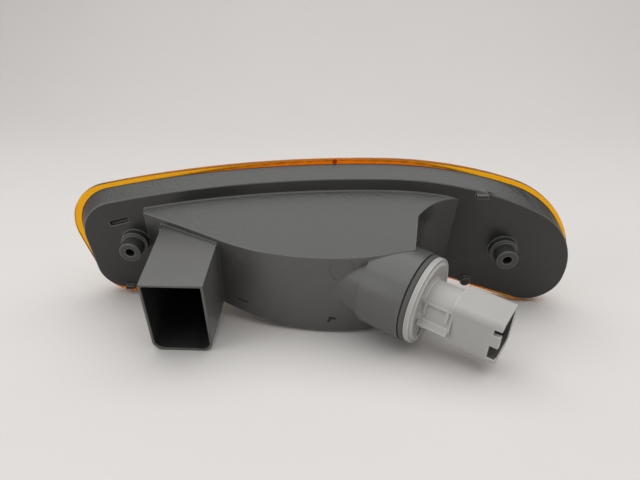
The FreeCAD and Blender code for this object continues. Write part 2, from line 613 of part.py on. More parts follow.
bulb_cap = join("bulb_cap", [cap_shell, *pin_rods])
bulb_insulator = revolve("bulb_insulator", [
    ("0", "cap_base - 2.4"), ("cap_radius - cap_skin - 0.05", "cap_base - 2.4"),
    ("cap_radius - cap_skin - 0.05", "cap_base - 1.7"), ("cap_radius - 1.6", "cap_base - 1"),
    ("3.4", "cap_base"), ("0", "cap_base"),
])
bulb_contact = revolve("bulb_contact", [
    ("0", "cap_base"), ("2.6", "cap_base"), ("2.2", "cap_base + 0.45"), ("1.2", "cap_base + 0.6"),
    ("0", "cap_base + 0.6"),
])
belt = "( glass_radius ^ 2 - 25 ) ^ 0.5"
inner_belt = "( ( glass_radius - glass_skin ) ^ 2 - 25 ) ^ 0.5"
bulb_glass = revolve("bulb_glass", [
    ("0", "glass_centre - glass_radius"), (belt, "glass_centre + 5"), ("glass_neck", "glass_centre + 13"),
    ("glass_neck", "-9"), ("glass_neck - glass_skin", "-9"),
    ("glass_neck - glass_skin", "glass_centre + 13"), (inner_belt, "glass_centre + 5"),
    ("0", "glass_centre - glass_radius + glass_skin"),
], {0: ("glass_radius", False), 6: ("glass_radius - glass_skin", True)})
stem_glass = revolve("stem_glass", [
    ("0", "glass_centre + 12"), ("2.4", "glass_centre + 12"), ("3.2", "-12"),
    ("glass_neck - glass_skin - 0.05", "-10.5"), ("glass_neck - glass_skin - 0.05", "-9"), ("0", "-9"),
])
wires = []
for name, side in (("lens", 1), ("rear", -1)):
    foot_place = Vector(side * value("wire_spread"), 0, value("glass_centre") + 13)
    place = Placement(foot_place, Rotation(Vector(1, 0, 0), 180))
    lean = Placement(Vector(), Rotation(Vector(0, 1, 0), side * value("wire_lean")))
    wires.append(cylinder(f"filament_post_{name}", "wire_radius", "wire_length", place.multiply(lean)))
coil = cylinder("filament_coil", "coil_radius", "coil_length", Placement(
    Vector(-value("coil_length") / 2, 0, value("glass_centre") - 0.4), Rotation(Vector(0, 1, 0), 90)))
bulb_filament = join("bulb_filament", [*wires, coil])
bulb_stem = cut("bulb_stem", stem_glass, join("stem_wire_ways", wires))
doc.recompute()

# The lamp leans back onto the foot of its leg and the two low lobes of the lens flange.
foot = Vector(0, value("leg_front_y"), value("leg_low_z"))
lobe = rim_plane().multVec(Vector(0, value("lens_toe_z") - value("lens_toe_radius"), 0))
rake = math.degrees(math.atan2(foot.z - lobe.z, lobe.y - foot.y))
lean_back = Rotation(Vector(1, 0, 0), rake)
fixed = {"housing": housing, "lens": lens}
twisting = {
    "bulb_holder": bulb_holder, "holder_gasket": holder_gasket, "feed_terminal": feed_terminal,
    "ground_terminal": ground_terminal, "bulb_cap": bulb_cap, "bulb_insulator": bulb_insulator,
    "bulb_contact": bulb_contact, "bulb_glass": bulb_glass, "bulb_stem": bulb_stem,
    "bulb_filament": bulb_filament,
}
corners = []
for item in fixed.values():
    corners += [lean_back.multVec(point) for point in item.Shape.tessellate(0.05)[0]]
for item in twisting.values():
    points = item.Shape.tessellate(0.05)[0]
    corners += [lean_back.multVec(tube_place.multVec(point)) for point in points]
ground = min(point.z for point in corners)
middle_x = (min(point.x for point in corners) + max(point.x for point in corners)) / 2
middle_y = (min(point.y for point in corners) + max(point.y for point in corners)) / 2
rest = Placement(Vector(-middle_x, -middle_y, -ground), lean_back)
for name, item in fixed.items():
    item.Label = name
    item.Placement = rest
for name, item in twisting.items():
    item.Label = name
    item.Placement = rest.multiply(tube_place)
doc.recompute()

for item in doc.Objects:
    if "Invalid" in item.State or "Error" in item.State:
        raise RuntimeError(f"{item.Name} did not build: {item.State}")
for name, item in {**fixed, **twisting}.items():
    if not item.Shape.isValid() or len(item.Shape.Solids) != 1:
        raise RuntimeError(f"{name} is not one valid solid")
    item.Shape.exportStep(f"parts/{name}.step")
print("rake", round(rake, 3), "rest", rest)
axis_point = rest.multVec(mouth)
axis_way = rest.Rotation.multVec(tube_place.Rotation.multVec(Vector(0, 0, 1)))
print("tube mouth", axis_point, "tube way", axis_way)
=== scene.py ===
"""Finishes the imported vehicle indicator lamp: moulded housing, amber lens, bulb holder and bulb."""

import math

import bpy
from mathutils import Matrix, Vector
from mathutils.bvhtree import BVHTree


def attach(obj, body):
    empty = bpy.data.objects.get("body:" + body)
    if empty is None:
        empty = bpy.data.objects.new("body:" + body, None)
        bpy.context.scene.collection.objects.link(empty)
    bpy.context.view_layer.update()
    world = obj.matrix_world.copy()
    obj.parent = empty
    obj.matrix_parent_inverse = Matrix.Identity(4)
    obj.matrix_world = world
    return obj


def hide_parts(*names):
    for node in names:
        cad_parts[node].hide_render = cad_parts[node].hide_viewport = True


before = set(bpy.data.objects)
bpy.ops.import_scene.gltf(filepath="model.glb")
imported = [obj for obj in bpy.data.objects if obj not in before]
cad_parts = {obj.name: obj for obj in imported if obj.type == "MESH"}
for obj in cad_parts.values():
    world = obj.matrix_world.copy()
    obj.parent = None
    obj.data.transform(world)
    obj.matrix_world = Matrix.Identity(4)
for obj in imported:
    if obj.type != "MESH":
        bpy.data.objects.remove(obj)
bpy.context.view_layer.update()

bl_info = {
    "name": "Indicator lamp finisher",
    "version": (1, 0, 0),
    "blender": (4, 5, 0),
    "location": "View3D > Sidebar > Lamp",
    "description": "Rounds the packed lamp's edges, gives its pieces their finish and lights it",
    "category": "Object",
}

MM = 0.001

# The lamp is drawn with its back plate on y = 0 and then leaned onto the points it rests on.
LEAN = math.radians(14.0696)
REST = Matrix.Translation(Vector((-1.63419, 19.237, 31.7478)) * MM) @ Matrix.Rotation(LEAN, 4, "X")
TO_LAMP = REST.inverted()
LENS_SIDE = REST.to_3x3() @ Vector((0, 1, 0))

# Housing: millimetres of the lamp's own frame, and radians. Its plastic is painted paler, as painted light,
# between the proud distances.
RIM_DEPTH = 5.0
RIM_TILT = math.radians(3.8)
RIM_START = 0.2
RIM_MARGIN = 0.02
PROUD_START = 2.0
PROUD_END = 28.0
BULGE_START = -0.5
POCKET = Vector((-90.5, 1.0, 10.5))
POCKET_REACH = 6.2
POCKET_DEPTHS = (0.15, 2.0)
LEG_AXIS = Vector((-53.9, 0.0, -3.1))
LEG_HALF_WIDTH = 12.6
LEG_HALF_HEIGHT = 16.8
LEG_START = -1.5
LEG_AHEAD = 1.0
TUBE_TURN = math.radians(56.4)
TUBE_MOUTH = Vector((42.5, -33.6, -1.1))
TUBE_RADIUS = 19.8

# Limits on a face's normal, which sort the faces by where they lie on the lamp.
BULGE_UP = 0.75
BULGE_BACK = -0.2
TUBE_OUTWARD = 0.985
RIM_SIDEWAYS = 0.6
FILM_FORWARD = -0.05
SHROUD_INWARD = -0.4

# Marks of the mould: place in millimetres, the wall's turn in degrees, then a radius, or a tip and a size.
LEFT_WALL = -21.7
RIGHT_WALL = 1.7
EJECTOR_RINGS = (
    ((-32.34, -24.31, 6.98), LEFT_WALL, 3.0),
    ((11.0, -32.0, 10.6), RIGHT_WALL, 5.2),
)
RING_HALF_THICKNESS = 0.14
# The slots are near-black bars laid on the wall: painted shade of slits, not cut into it.
WALL_SLOTS = (
    ((-32.2, -24.4, -13.6), LEFT_WALL, 6, (5.2, 0.3, 0.7)),
    ((7.4, -32.05, -15.8), RIGHT_WALL, 12, (3.2, 0.3, 1.1)),
    ((6.1, -32.05, -16.9), RIGHT_WALL, -62, (2.6, 0.3, 1.1)),
)

# Lens and weld, in millimetres of the lamp's own frame. Edges sharper than the angle get rounded.
TOP_PIP = Vector((7.1, 6.8, 39.1))
PIP_REACH = 1.3
FLANGE_WIDTH = 6.0
WELD_INSET = 0.3
LENS_SHARP = 50.0

# Holder: distances outwards from the tube's mouth, and the bars round the window in its neck,
# each with its angle round the tube in degrees, its distance outwards and its size.
SHROUD_FLOOR = (22.3, 22.7)
SHROUD_END = 36.2
NECK_RADIUS = 10.0
WINDOW_BARS = (
    ("rib", 141, 11.2, (2.0, 1.1, 12.4)),
    ("near_post", 155, 6.9, (1.7, 4.4, 1.5)),
    ("far_post", 155, 15.9, (1.7, 4.4, 1.5)),
)

# Rounded edges of the small pieces, in millimetres. The bulb's pieces have their slot beside them.
SLOT_ROUND = 0.1
WINDOW_ROUND = 0.25
GASKET_ROUND = 0.25
BLADE_ROUND = 0.12
BULB_PIECES = (
    ("bulb_cap", "cap_metal", 0.18),
    ("bulb_insulator", "cap_insulator", 0.15),
    ("bulb_contact", "contact_metal", 0.12),
    ("bulb_glass", "bulb_glass", 0.1),
    ("bulb_stem", "bulb_glass", 0.1),
    ("bulb_filament", "filament_metal", 0.0),
)

# Clean-up of the copied meshes.
JOIN_DISTANCE = 0.002 * MM
FLAT_ANGLE = math.radians(0.6)
SMOOTH_ANGLE = math.radians(38)

# The film is found by rays that start just off each face and run forwards. Lengths in metres.
RAY_START = 0.1 * MM
WALL_SIGHT = 0.06
LENS_SIGHT = 0.12
LENS_GAP = 6 * MM

# Stage in metres. The camera has degrees, and millimetres of the lamp's own frame.
FLOOR_SIZE = (6.0, 2.6, 1.0)
FLOOR_PLACE = (0, -0.3, 0)
SWEEP_HEIGHT = 1.6
SWEEP_BEND = 0.55
CAMERA_ANGLES = (1.71, 35.78, 0.13)
CAMERA_PLACE = (6.84, -194.04, 142.32)

# Slots of the pieces that carry more than one material.
PLASTIC, EDGE, FILM, COARSE, PAINTED_SHADE = range(5)
FLANGE, BURNT = 1, 2
SHADE = 2

# Sockets of a colour mix, which share their names with others of the same node.
MIX_MASK, MIX_FIRST, MIX_SECOND, MIX_RESULT = 0, 6, 7, 2

# Refractive indices.
ACRYLIC = 1.49
SODA_GLASS = 1.47

# How far dust, wear and unevenness change a colour or a roughness.
DUST_GAIN = 1.5
DUST_LIFT = 0.03
DULLED_COLOUR = 0.72
DULLED_ROUGHNESS = 0.16
POLISH_RANGE = (0.7, 1.4)
FLOOR_MOTTLE = 0.985


class HousingLook(bpy.types.PropertyGroup):
    """Sizes and colours of the dark moulded housing."""

    edge_round: bpy.props.FloatProperty(
        name="Edge round", description="Radius that the mould leaves on the edges",
        default=0.45 * MM, unit="LENGTH", precision=5)
    colour: bpy.props.FloatVectorProperty(
        name="Colour", description="Dark grey of the back plate", subtype="COLOR", size=4,
        default=(0.021, 0.021, 0.020, 1.0))
    # Painted light: a paler grey painted on what stands proud of the plate, such as the bulge's walls and
    # the tube, in place of the light on them.
    proud_painted_light: bpy.props.FloatVectorProperty(
        name="Proud painted light", description="Paler grey of what stands out and gets handled",
        subtype="COLOR", size=4, default=(0.100, 0.100, 0.098, 1.0))
    grain_colour: bpy.props.FloatVectorProperty(
        name="Grain colour", description="Grey of the grained top and rim", subtype="COLOR", size=4,
        default=(0.036, 0.036, 0.034, 1.0))
    # Painted highlight and wear: the rounded edges are painted paler, in place of the light lines along
    # them as well as rubbing.
    edge_colour: bpy.props.FloatVectorProperty(
        name="Edge colour", description="Paler grey of the rubbed edges", subtype="COLOR", size=4,
        default=(0.11, 0.11, 0.104, 1.0))
    # Painted shade: near black painted into the slots, the pocket and the leg's inside, where shade falls.
    painted_shade_colour: bpy.props.FloatVectorProperty(
        name="Painted shade colour", description="Near black of the slots, the pocket and the leg's inside",
        subtype="COLOR", size=4, default=(0.010, 0.010, 0.010, 1.0))
    grain: bpy.props.FloatProperty(
        name="Grain", description="Grains per metre of the spark-eroded surface", default=1000.0)
    film_colour: bpy.props.FloatVectorProperty(
        name="Film colour", description="Bright film on the inside of the reflector",
        subtype="COLOR", size=4, default=(0.82, 0.82, 0.80, 1.0))


class LensLook(bpy.types.PropertyGroup):
    """Sizes and colours of the amber lens and its weld."""

    edge_round: bpy.props.FloatProperty(
        name="Edge round", description="Radius on the lens's edges", default=0.35 * MM,
        unit="LENGTH", precision=5)
    colour: bpy.props.FloatVectorProperty(
        name="Colour", description="Clear amber of the lens", subtype="COLOR", size=4,
        default=(1.0, 0.56, 0.030, 1.0))
    weld_colour: bpy.props.FloatVectorProperty(
        name="Weld colour", description="Burnt amber squeezed out of the weld", subtype="COLOR", size=4,
        default=(0.085, 0.030, 0.010, 1.0))
    flange_colour: bpy.props.FloatVectorProperty(
        name="Flange colour", description="Frosted amber of the edge that is welded on",
        subtype="COLOR", size=4, default=(1.0, 0.45, 0.008, 1.0))
    burnt_colour: bpy.props.FloatVectorProperty(
        name="Burnt colour", description="Dark red of the weld pip on the top edge",
        subtype="COLOR", size=4, default=(0.25, 0.03, 0.003, 1.0))
    weld_radius: bpy.props.FloatProperty(
        name="Weld radius", description="Half the thickness of the weld bead", default=0.16 * MM,
        unit="LENGTH", precision=5)


class HolderLook(bpy.types.PropertyGroup):
    """Sizes and colours of the twist-in holder, its gasket and its terminals."""

    edge_round: bpy.props.FloatProperty(
        name="Edge round", description="Radius on the holder's edges", default=0.35 * MM,
        unit="LENGTH", precision=5)
    colour: bpy.props.FloatVectorProperty(
        name="Colour", description="Light grey of the holder", subtype="COLOR", size=4,
        default=(0.43, 0.425, 0.408, 1.0))
    edge_colour: bpy.props.FloatVectorProperty(
        name="Edge colour", description="Paler grey of the holder's edges", subtype="COLOR", size=4,
        default=(0.55, 0.545, 0.52, 1.0))
    shade_colour: bpy.props.FloatVectorProperty(
        name="Shade colour", description="Darker grey inside the plug shroud", subtype="COLOR", size=4,
        default=(0.070, 0.070, 0.068, 1.0))
    gasket_colour: bpy.props.FloatVectorProperty(
        name="Gasket colour", description="Dark rubber of the sealing ring", subtype="COLOR", size=4,
        default=(0.085, 0.085, 0.082, 1.0))
    terminal_colour: bpy.props.FloatVectorProperty(
        name="Terminal colour", description="Brass strip of the terminals", subtype="COLOR", size=4,
        default=(0.62, 0.44, 0.17, 1.0))


class BulbLook(bpy.types.PropertyGroup):
    """Colours of the bayonet bulb."""

    cap_colour: bpy.props.FloatVectorProperty(
        name="Cap colour", description="Nickelled brass of the cap", subtype="COLOR", size=4,
        default=(0.62, 0.57, 0.44, 1.0))
    insulator_colour: bpy.props.FloatVectorProperty(
        name="Insulator colour", description="Black between the cap and its contact",
        subtype="COLOR", size=4, default=(0.012, 0.012, 0.014, 1.0))
    contact_colour: bpy.props.FloatVectorProperty(
        name="Contact colour", description="Grey metal of the end contact", subtype="COLOR", size=4,
        default=(0.52, 0.52, 0.52, 1.0))
    glass_colour: bpy.props.FloatVectorProperty(
        name="Glass colour", description="Clear blown glass", subtype="COLOR", size=4,
        default=(0.96, 0.97, 0.97, 1.0))
    wire_colour: bpy.props.FloatVectorProperty(
        name="Wire colour", description="Grey filament and its posts", subtype="COLOR", size=4,
        default=(0.16, 0.16, 0.17, 1.0))


class StageLook(bpy.types.PropertyGroup):
    """Floor, light and camera."""

    floor_colour: bpy.props.FloatVectorProperty(
        name="Floor colour", description="Plain pale sweep under and behind the lamp",
        subtype="COLOR", size=4, default=(0.78, 0.757, 0.738, 1.0))
    room_colour: bpy.props.FloatVectorProperty(
        name="Room colour", description="Faintly warm white of the light from all round",
        subtype="COLOR", size=4, default=(1.0, 0.985, 0.965, 1.0))
    softbox_power: bpy.props.FloatProperty(
        name="Softbox power", description="Power of the large lamp overhead", default=12.2, unit="POWER")
    fill_power: bpy.props.FloatProperty(
        name="Fill power", description="Power of the weak lamp at the left", default=1.2, unit="POWER")
    room_light: bpy.props.FloatProperty(
        name="Room light", description="Even light from all round", default=0.20)
    backdrop: bpy.props.FloatProperty(
        name="Backdrop", description="Tone of the room where it is seen or mirrored", default=0.5)
    lens_length: bpy.props.FloatProperty(
        name="Lens length", description="Focal length of the camera in millimetres", default=29.25)


def moved(spot):
    """Matrix of a shift in millimetres."""
    return Matrix.Translation(Vector(spot) * MM)


def turned(degrees, axis):
    """Matrix of a turn about one axis."""
    return Matrix.Rotation(math.radians(degrees), 4, axis)


def in_lamp(point):
    """Point of the row frame in millimetres of the lamp's own frame, where the back plate is y = 0."""
    return TO_LAMP @ point / MM


def in_tube(point):
    """Distance outwards from the tube's mouth, and the step from its axis, in the lamp's frame."""
    along = Vector((math.sin(TUBE_TURN), -math.cos(TUBE_TURN), 0.0))
    step = in_lamp(point) - TUBE_MOUTH
    return step.dot(along), step - along * step.dot(along)


def tube_place():
    """Matrix of the tube: own z runs outwards from its mouth, own y goes up."""
    return REST @ moved(TUBE_MOUTH) @ Matrix.Rotation(TUBE_TURN, 4, "Z") @ turned(90, "X")


def wall_place(spot, turn):
    """Matrix of a spot on the back wall, where the wall is turned about the lamp's upright axis."""
    return REST @ moved(spot) @ turned(turn, "Z")


def surface_tree(mesh):
    """Search tree of a mesh's faces, for shooting rays at them."""
    corners = [vertex.co for vertex in mesh.vertices]
    return BVHTree.FromPolygons(corners, [face.vertices[:] for face in mesh.polygons])


def only(piece):
    """Select one object alone and make it the active one."""
    bpy.ops.object.select_all(action="DESELECT")
    piece.select_set(True)
    bpy.context.view_layer.objects.active = piece


def pick(piece, kind, wanted):
    """Select the vertices or edges of a piece that a test wants, and open it for editing."""
    only(piece)
    bpy.context.tool_settings.mesh_select_mode = (kind == "vertices", kind == "edges", False)
    for parts in (piece.data.polygons, piece.data.edges, piece.data.vertices):
        parts.foreach_set("select", [False] * len(parts))
    for part in getattr(piece.data, kind):
        part.select = wanted(part)
    bpy.ops.object.mode_set(mode="EDIT")


def apply_modifiers(piece):
    """Apply all modifiers of a piece in order."""
    only(piece)
    for modifier in list(piece.modifiers):
        bpy.ops.object.modifier_apply(modifier=modifier.name)


def merged_copy(node, name, whole=True):
    """Copy of a CAD node with its loose triangles joined and, if wanted, its flat faces made whole."""
    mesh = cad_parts[node].data.copy()
    mesh.materials.clear()
    piece = bpy.data.objects.new(name, mesh)
    mesh.name = name
    bpy.context.scene.collection.objects.link(piece)
    only(piece)
    if mesh.has_custom_normals:
        bpy.ops.mesh.customdata_custom_splitnormals_clear()
    bpy.ops.object.mode_set(mode="EDIT")
    bpy.ops.mesh.select_all(action="SELECT")
    bpy.ops.mesh.remove_doubles(threshold=JOIN_DISTANCE)
    if whole:
        bpy.ops.mesh.dissolve_limited(angle_limit=FLAT_ANGLE)
    bpy.ops.object.mode_set(mode="OBJECT")
    return piece


def bar(name, place, size):
    """Plain box of the given size in millimetres, at a place of the row frame."""
    bpy.ops.mesh.primitive_cube_add(size=1.0)
    piece = bpy.context.active_object
    piece.name = name
    piece.scale = Vector(size) * MM
    bpy.ops.object.transform_apply(location=False, rotation=False, scale=True)
    piece.matrix_world = place
    bpy.ops.object.transform_apply(location=True, rotation=True, scale=False)
    return piece


def joined(name, pieces):
    """One object made of several."""
    bpy.ops.object.select_all(action="DESELECT")
    for piece in pieces:
        piece.select_set(True)
    bpy.context.view_layer.objects.active = pieces[0]
    bpy.ops.object.join()
    pieces[0].name = name
    return pieces[0]


def round_edges(piece, radius, sharp=32.0, edge_slot=-1):
    """Round every edge sharper than the given angle, as a mould or a press leaves it."""
    bevel = piece.modifiers.new("rounded edges", "BEVEL")
    bevel.width = radius
    bevel.segments = 2
    bevel.limit_method = "ANGLE"
    bevel.angle_limit = math.radians(sharp)
    bevel.use_clamp_overlap = False
    bevel.loop_slide = False
    bevel.miter_outer = "MITER_ARC"
    bevel.material = edge_slot
    apply_modifiers(piece)
    bpy.ops.object.shade_smooth_by_angle(angle=SMOOTH_ANGLE)
    even = piece.modifiers.new("even shading", "WEIGHTED_NORMAL")
    even.keep_sharp = True
    apply_modifiers(piece)


def coat(piece, *materials):
    """Give a piece its materials, one slot each."""
    for material in materials:
        piece.data.materials.append(material)


def dress(piece, body, slot, *nodes):
    """Hang a piece on its body in place of the CAD nodes it stands for."""
    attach(piece, body)
    if nodes:
        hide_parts(*nodes)


def lay(tree, kind, sockets=None, **settings):
    """Add a node with its settings and the values of its sockets."""
    node = tree.nodes.new(kind)
    for key, value in settings.items():
        setattr(node, key, value)
    for key, value in (sockets or {}).items():
        node.inputs[key].default_value = value
    return node


def feed(tree, socket, source):
    """Link a socket to its source, or set it if the source is a plain value."""
    if isinstance(source, bpy.types.NodeSocket):
        tree.links.new(source, socket)
    else:
        socket.default_value = source


def blend_colours(tree, mask, first, second):
    """Colour socket that goes from first to second as the mask rises."""
    mix = lay(tree, "ShaderNodeMix", data_type="RGBA")
    for index, source in ((MIX_MASK, mask), (MIX_FIRST, first), (MIX_SECOND, second)):
        feed(tree, mix.inputs[index], source)
    return mix.outputs[MIX_RESULT]


def spread(tree, source, low, high, start=0.0, end=1.0):
    """Value socket that maps a source from start and end to low and high."""
    sockets = {"From Min": start, "From Max": end, "To Min": low, "To Max": high}
    ranger = lay(tree, "ShaderNodeMapRange", sockets)
    tree.links.new(source, ranger.inputs["Value"])
    return ranger.outputs["Result"]


def combine(tree, operation, first, second):
    """Value socket that is the product or the larger one of two others."""
    node = lay(tree, "ShaderNodeMath", operation=operation)
    tree.links.new(first, node.inputs[0])
    tree.links.new(second, node.inputs[1])
    return node.outputs[0]


def toned(colour, factor):
    """Colour made darker or paler by a factor."""
    return [channel * factor for channel in colour[:3]] + [1.0]


def new_group(name, inputs, outputs):
    """Empty shader group with float sockets of the given names."""
    group = bpy.data.node_groups.new(name, "ShaderNodeTree")
    for label, value in inputs:
        socket = group.interface.new_socket(label, in_out="INPUT", socket_type="NodeSocketFloat")
        socket.default_value = value
    for label in outputs:
        group.interface.new_socket(label, in_out="OUTPUT", socket_type="NodeSocketFloat")
    return group, group.nodes.new("NodeGroupInput"), group.nodes.new("NodeGroupOutput")


def moulded_grain():
    """Group that gives the fine grain of a moulding and the slow mottle of its tone."""
    name = "Moulded grain"
    if name in bpy.data.node_groups:
        return bpy.data.node_groups[name]
    inputs = [("Grains", 1500.0), ("Mottle size", 30.0)]
    group, given, result = new_group(name, inputs, ["Height", "Mottle"])
    place = lay(group, "ShaderNodeTexCoord")
    fine = lay(group, "ShaderNodeTexNoise", {"Detail": 2.0, "Roughness": 0.55})
    slow = lay(group, "ShaderNodeTexNoise", {"Detail": 4.0, "Roughness": 0.6})
    for noise, label in ((fine, "Grains"), (slow, "Mottle size")):
        group.links.new(place.outputs["Object"], noise.inputs["Vector"])
        group.links.new(given.outputs[label], noise.inputs["Scale"])
    mottle = spread(group, slow.outputs[0], 0.0, 1.0, start=0.35, end=0.65)
    group.links.new(fine.outputs[0], result.inputs["Height"])
    group.links.new(mottle, result.inputs["Mottle"])
    return group


def handling_marks():
    """Group that gives faint scuffs and specks of dust, gathered in patches."""
    name = "Handling marks"
    if name in bpy.data.node_groups:
        return bpy.data.node_groups[name]
    group, given, result = new_group(name, [("Amount", 0.3)], ["Scuff", "Speck"])
    place = lay(group, "ShaderNodeTexCoord")
    drawn = lay(group, "ShaderNodeMapping", {"Rotation": (0.3, 0.5, 0.2), "Scale": (18.0, 160.0, 60.0)})
    streak = lay(group, "ShaderNodeTexNoise", {"Scale": 2.0, "Detail": 5.0, "Roughness": 0.7})
    patch = lay(group, "ShaderNodeTexNoise", {"Scale": 26.0, "Detail": 2.0})
    dust = lay(group, "ShaderNodeTexVoronoi", {"Scale": 420.0})
    group.links.new(drawn.outputs["Vector"], streak.inputs["Vector"])
    for node in (drawn, patch, dust):
        group.links.new(place.outputs["Object"], node.inputs["Vector"])
    patches = spread(group, patch.outputs[0], 0.0, 1.0, start=0.5, end=0.72)
    streaks = spread(group, streak.outputs[0], 0.0, 1.0, start=0.58, end=0.74)
    specks = spread(group, dust.outputs["Distance"], 1.0, 0.0, start=0.05, end=0.13)
    for label, marks in (("Scuff", streaks), ("Speck", specks)):
        patchy = combine(group, "MULTIPLY", marks, patches)
        faint = combine(group, "MULTIPLY", patchy, given.outputs["Amount"])
        group.links.new(faint, result.inputs[label])
    return group


def new_material(name):
    """Material with its node tree and its shader."""
    material = bpy.data.materials.new(name)
    material.use_nodes = True
    tree = material.node_tree
    return material, tree, tree.nodes["Principled BSDF"]


def use_group(tree, group, **values):
    """Add a node group with the values of its sockets, whose names have spaces for underscores."""
    node = lay(tree, "ShaderNodeGroup", node_tree=group)
    for key, value in values.items():
        node.inputs[key.replace("_", " ")].default_value = value
    return node


def raise_surface(tree, shader, height, strength, depth):
    """Let a height show as relief of the given depth."""
    bump = lay(tree, "ShaderNodeBump", {"Strength": strength, "Distance": depth})
    tree.links.new(height, bump.inputs["Height"])
    tree.links.new(bump.outputs["Normal"], shader.inputs["Normal"])


def painted_light_mask(tree):
    """Mask of the painted light, which rises from the back plate to what stands well proud of it."""
    plate = LENS_SIDE.dot(REST.translation)
    place = lay(tree, "ShaderNodeTexCoord")
    depth = lay(tree, "ShaderNodeVectorMath", {1: LENS_SIDE}, operation="DOT_PRODUCT")
    tree.links.new(place.outputs["Object"], depth.inputs[0])
    return spread(tree, depth.outputs["Value"], 1.0, 0.0,
                  start=plate - PROUD_END * MM, end=plate - PROUD_START * MM)


def moulded_plastic(name, colour, grains, rough, grain_depth,
                    marks=0.35, tone=0.16, gloss=0.5, painted_light=None):
    """Opaque moulding with grain, mottle, scuffs and dust, and a paler colour of painted light where it
    stands out.
    """
    material, tree, shader = new_material(name)
    grain = use_group(tree, moulded_grain(), Grains=grains)
    wear = use_group(tree, handling_marks(), Amount=marks)
    mottle = grain.outputs["Mottle"]
    dusty = [min(1.0, channel * DUST_GAIN + DUST_LIFT) for channel in colour[:3]] + [1.0]
    worn = combine(tree, "MAXIMUM", wear.outputs["Scuff"], wear.outputs["Speck"])
    tint = blend_colours(tree, mottle, toned(colour, 1 - tone), toned(colour, 1 + tone))
    tint = blend_colours(tree, worn, tint, dusty)
    # Painted light: what stands proud of the plate is painted paler.
    if painted_light:
        tint = blend_colours(tree, painted_light_mask(tree), tint, painted_light)
    tree.links.new(tint, shader.inputs["Base Color"])
    tree.links.new(spread(tree, mottle, *rough), shader.inputs["Roughness"])
    shader.inputs["Specular IOR Level"].default_value = gloss
    raise_surface(tree, shader, grain.outputs["Height"], strength=grain_depth, depth=0.5 * MM)
    return material


def clear_plastic(name, colour, transmission, rough, index):
    """Clear coloured plastic or glass with a tinted shine and a faintly uneven polish."""
    material, tree, shader = new_material(name)
    shader.inputs["Base Color"].default_value = colour
    shader.inputs["Transmission Weight"].default_value = transmission
    shader.inputs["IOR"].default_value = index
    shader.inputs["Specular Tint"].default_value = [channel ** 0.5 for channel in colour]
    grain = use_group(tree, moulded_grain(), Grains=260.0, Mottle_size=24.0)
    low, high = (rough * share for share in POLISH_RANGE)
    polish = spread(tree, grain.outputs["Mottle"], low, high)
    tree.links.new(polish, shader.inputs["Roughness"])
    raise_surface(tree, shader, grain.outputs["Height"], strength=0.02, depth=0.5 * MM)
    return material


def metal(name, colour, rough):
    """Rolled or drawn metal with a dulled, uneven shine."""
    material, tree, shader = new_material(name)
    shader.inputs["Metallic"].default_value = 1.0
    grain = use_group(tree, moulded_grain(), Grains=900.0, Mottle_size=160.0)
    mottle = grain.outputs["Mottle"]
    tint = blend_colours(tree, mottle, toned(colour, DULLED_COLOUR), list(colour))
    tree.links.new(tint, shader.inputs["Base Color"])
    shine = spread(tree, mottle, rough + DULLED_ROUGHNESS, rough)
    tree.links.new(shine, shader.inputs["Roughness"])
    raise_surface(tree, shader, grain.outputs["Height"], strength=0.05, depth=0.2 * MM)
    return material


